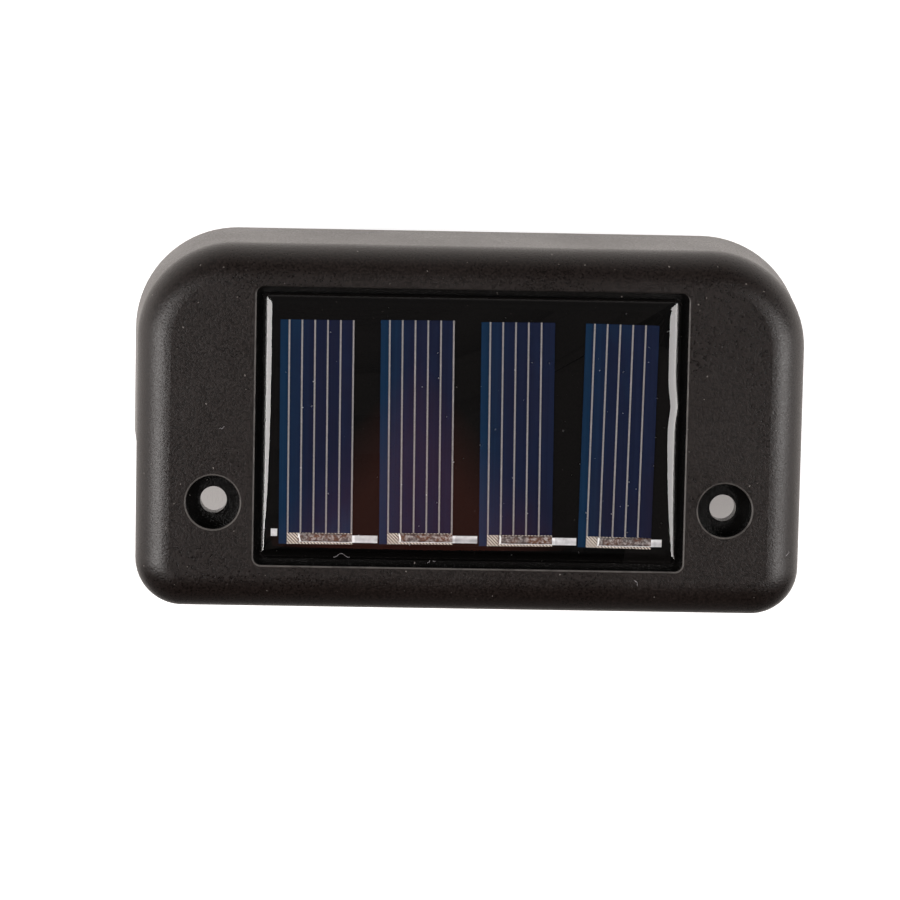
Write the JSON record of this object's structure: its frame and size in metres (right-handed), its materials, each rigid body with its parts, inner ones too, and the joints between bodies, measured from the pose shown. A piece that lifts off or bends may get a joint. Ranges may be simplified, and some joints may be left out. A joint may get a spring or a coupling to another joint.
{
  "type": "fence light",
  "caption": "Solar fence light: an L-shaped housing screwed over a rail's edge, with a solar panel on its flange and a lit lens round its leg.",
  "frame": {"origin": "midway between the two screw holes, in the plane of the flange's underside", "axes": "+X along the light's width, +Y from the lit front towards the flange's rear edge, +Z out of the solar face"},
  "size_m": [0.1074, 0.0588, 0.043],
  "materials": {
    "housing_black": "fine-textured black ABS, slightly sheened",
    "gasket_rubber": "soft black rubber cord",
    "lens_frosted": "frosted clear plastic with inner flutes",
    "adhesive": "pale glue film",
    "panel_board_black": "black circuit-board laminate",
    "silicon_blue": "dark blue silicon with an anti-reflection coat",
    "grid_silver": "fired silver print",
    "ribbon_tinned": "tinned copper ribbon, crinkled by hand soldering",
    "resin_clear": "clear cast epoxy, glossy",
    "reflector_white": "white moulded plastic",
    "board_green": "green circuit board",
    "led_warm": "diode package with yellow phosphor",
    "battery_wrap": "green-sleeved rechargeable cell",
    "contact_nickel": "nickel-plated spring steel",
    "chip_black": "moulded chip body",
    "inductor_body": "lacquered axial inductor",
    "switch_steel": "plated switch case",
    "knob_black": "black moulded slider",
    "screw_steel": "plated steel screws",
    "wire_red": "red insulated wire",
    "wire_black": "black insulated wire"
  },
  "bodies": {
    "housing": {"base_cover": "housing_black", "battery": "battery_wrap", "battery_holder": "housing_black", "contact_negative": "contact_nickel", "contact_positive": "contact_nickel", "control_board": "board_green", "driver_chip": "chip_black", "finger_grid_1": "grid_silver", "finger_grid_2": "grid_silver", "finger_grid_3": "grid_silver", "finger_grid_4": "grid_silver", "flange_gasket": "gasket_rubber", "flange_screw_1": "screw_steel", "flange_screw_2": "screw_steel", "holder_screws": "screw_steel", "inductor": "inductor_body", "led_1": "led_warm", "led_2": "led_warm", "led_3": "led_warm", "leg_screw_1": "screw_steel", "leg_screw_2": "screw_steel", "lens_diffuser": "lens_frosted", "light_board": "board_green", "light_wire_black": "wire_black", "light_wire_red": "wire_red", "panel_adhesive": "adhesive", "panel_board": "panel_board_black", "panel_resin": "resin_clear", "panel_wire_black": "wire_black", "panel_wire_red": "wire_red", "reflector": "reflector_white", "solar_cell_1": "silicon_blue", "solar_cell_2": "silicon_blue", "solar_cell_3": "silicon_blue", "solar_cell_4": "silicon_blue", "start_tab": "ribbon_tinned", "switch_body": "switch_steel", "switch_screws": "screw_steel", "switch_wire_black": "wire_black", "switch_wire_red": "wire_red", "tab_ribbon_1": "ribbon_tinned", "tab_ribbon_2": "ribbon_tinned", "tab_ribbon_3": "ribbon_tinned", "tab_ribbon_4": "ribbon_tinned", "top_housing": "housing_black"},
    "knob": {"switch_knob": "knob_black"}
  },
  "joints": [
    {"name": "switch_slide", "type": "slide", "parent": "housing", "child": "knob", "axis": [1, 0, 0], "range_m": [0, 0.002]}
  ]
}
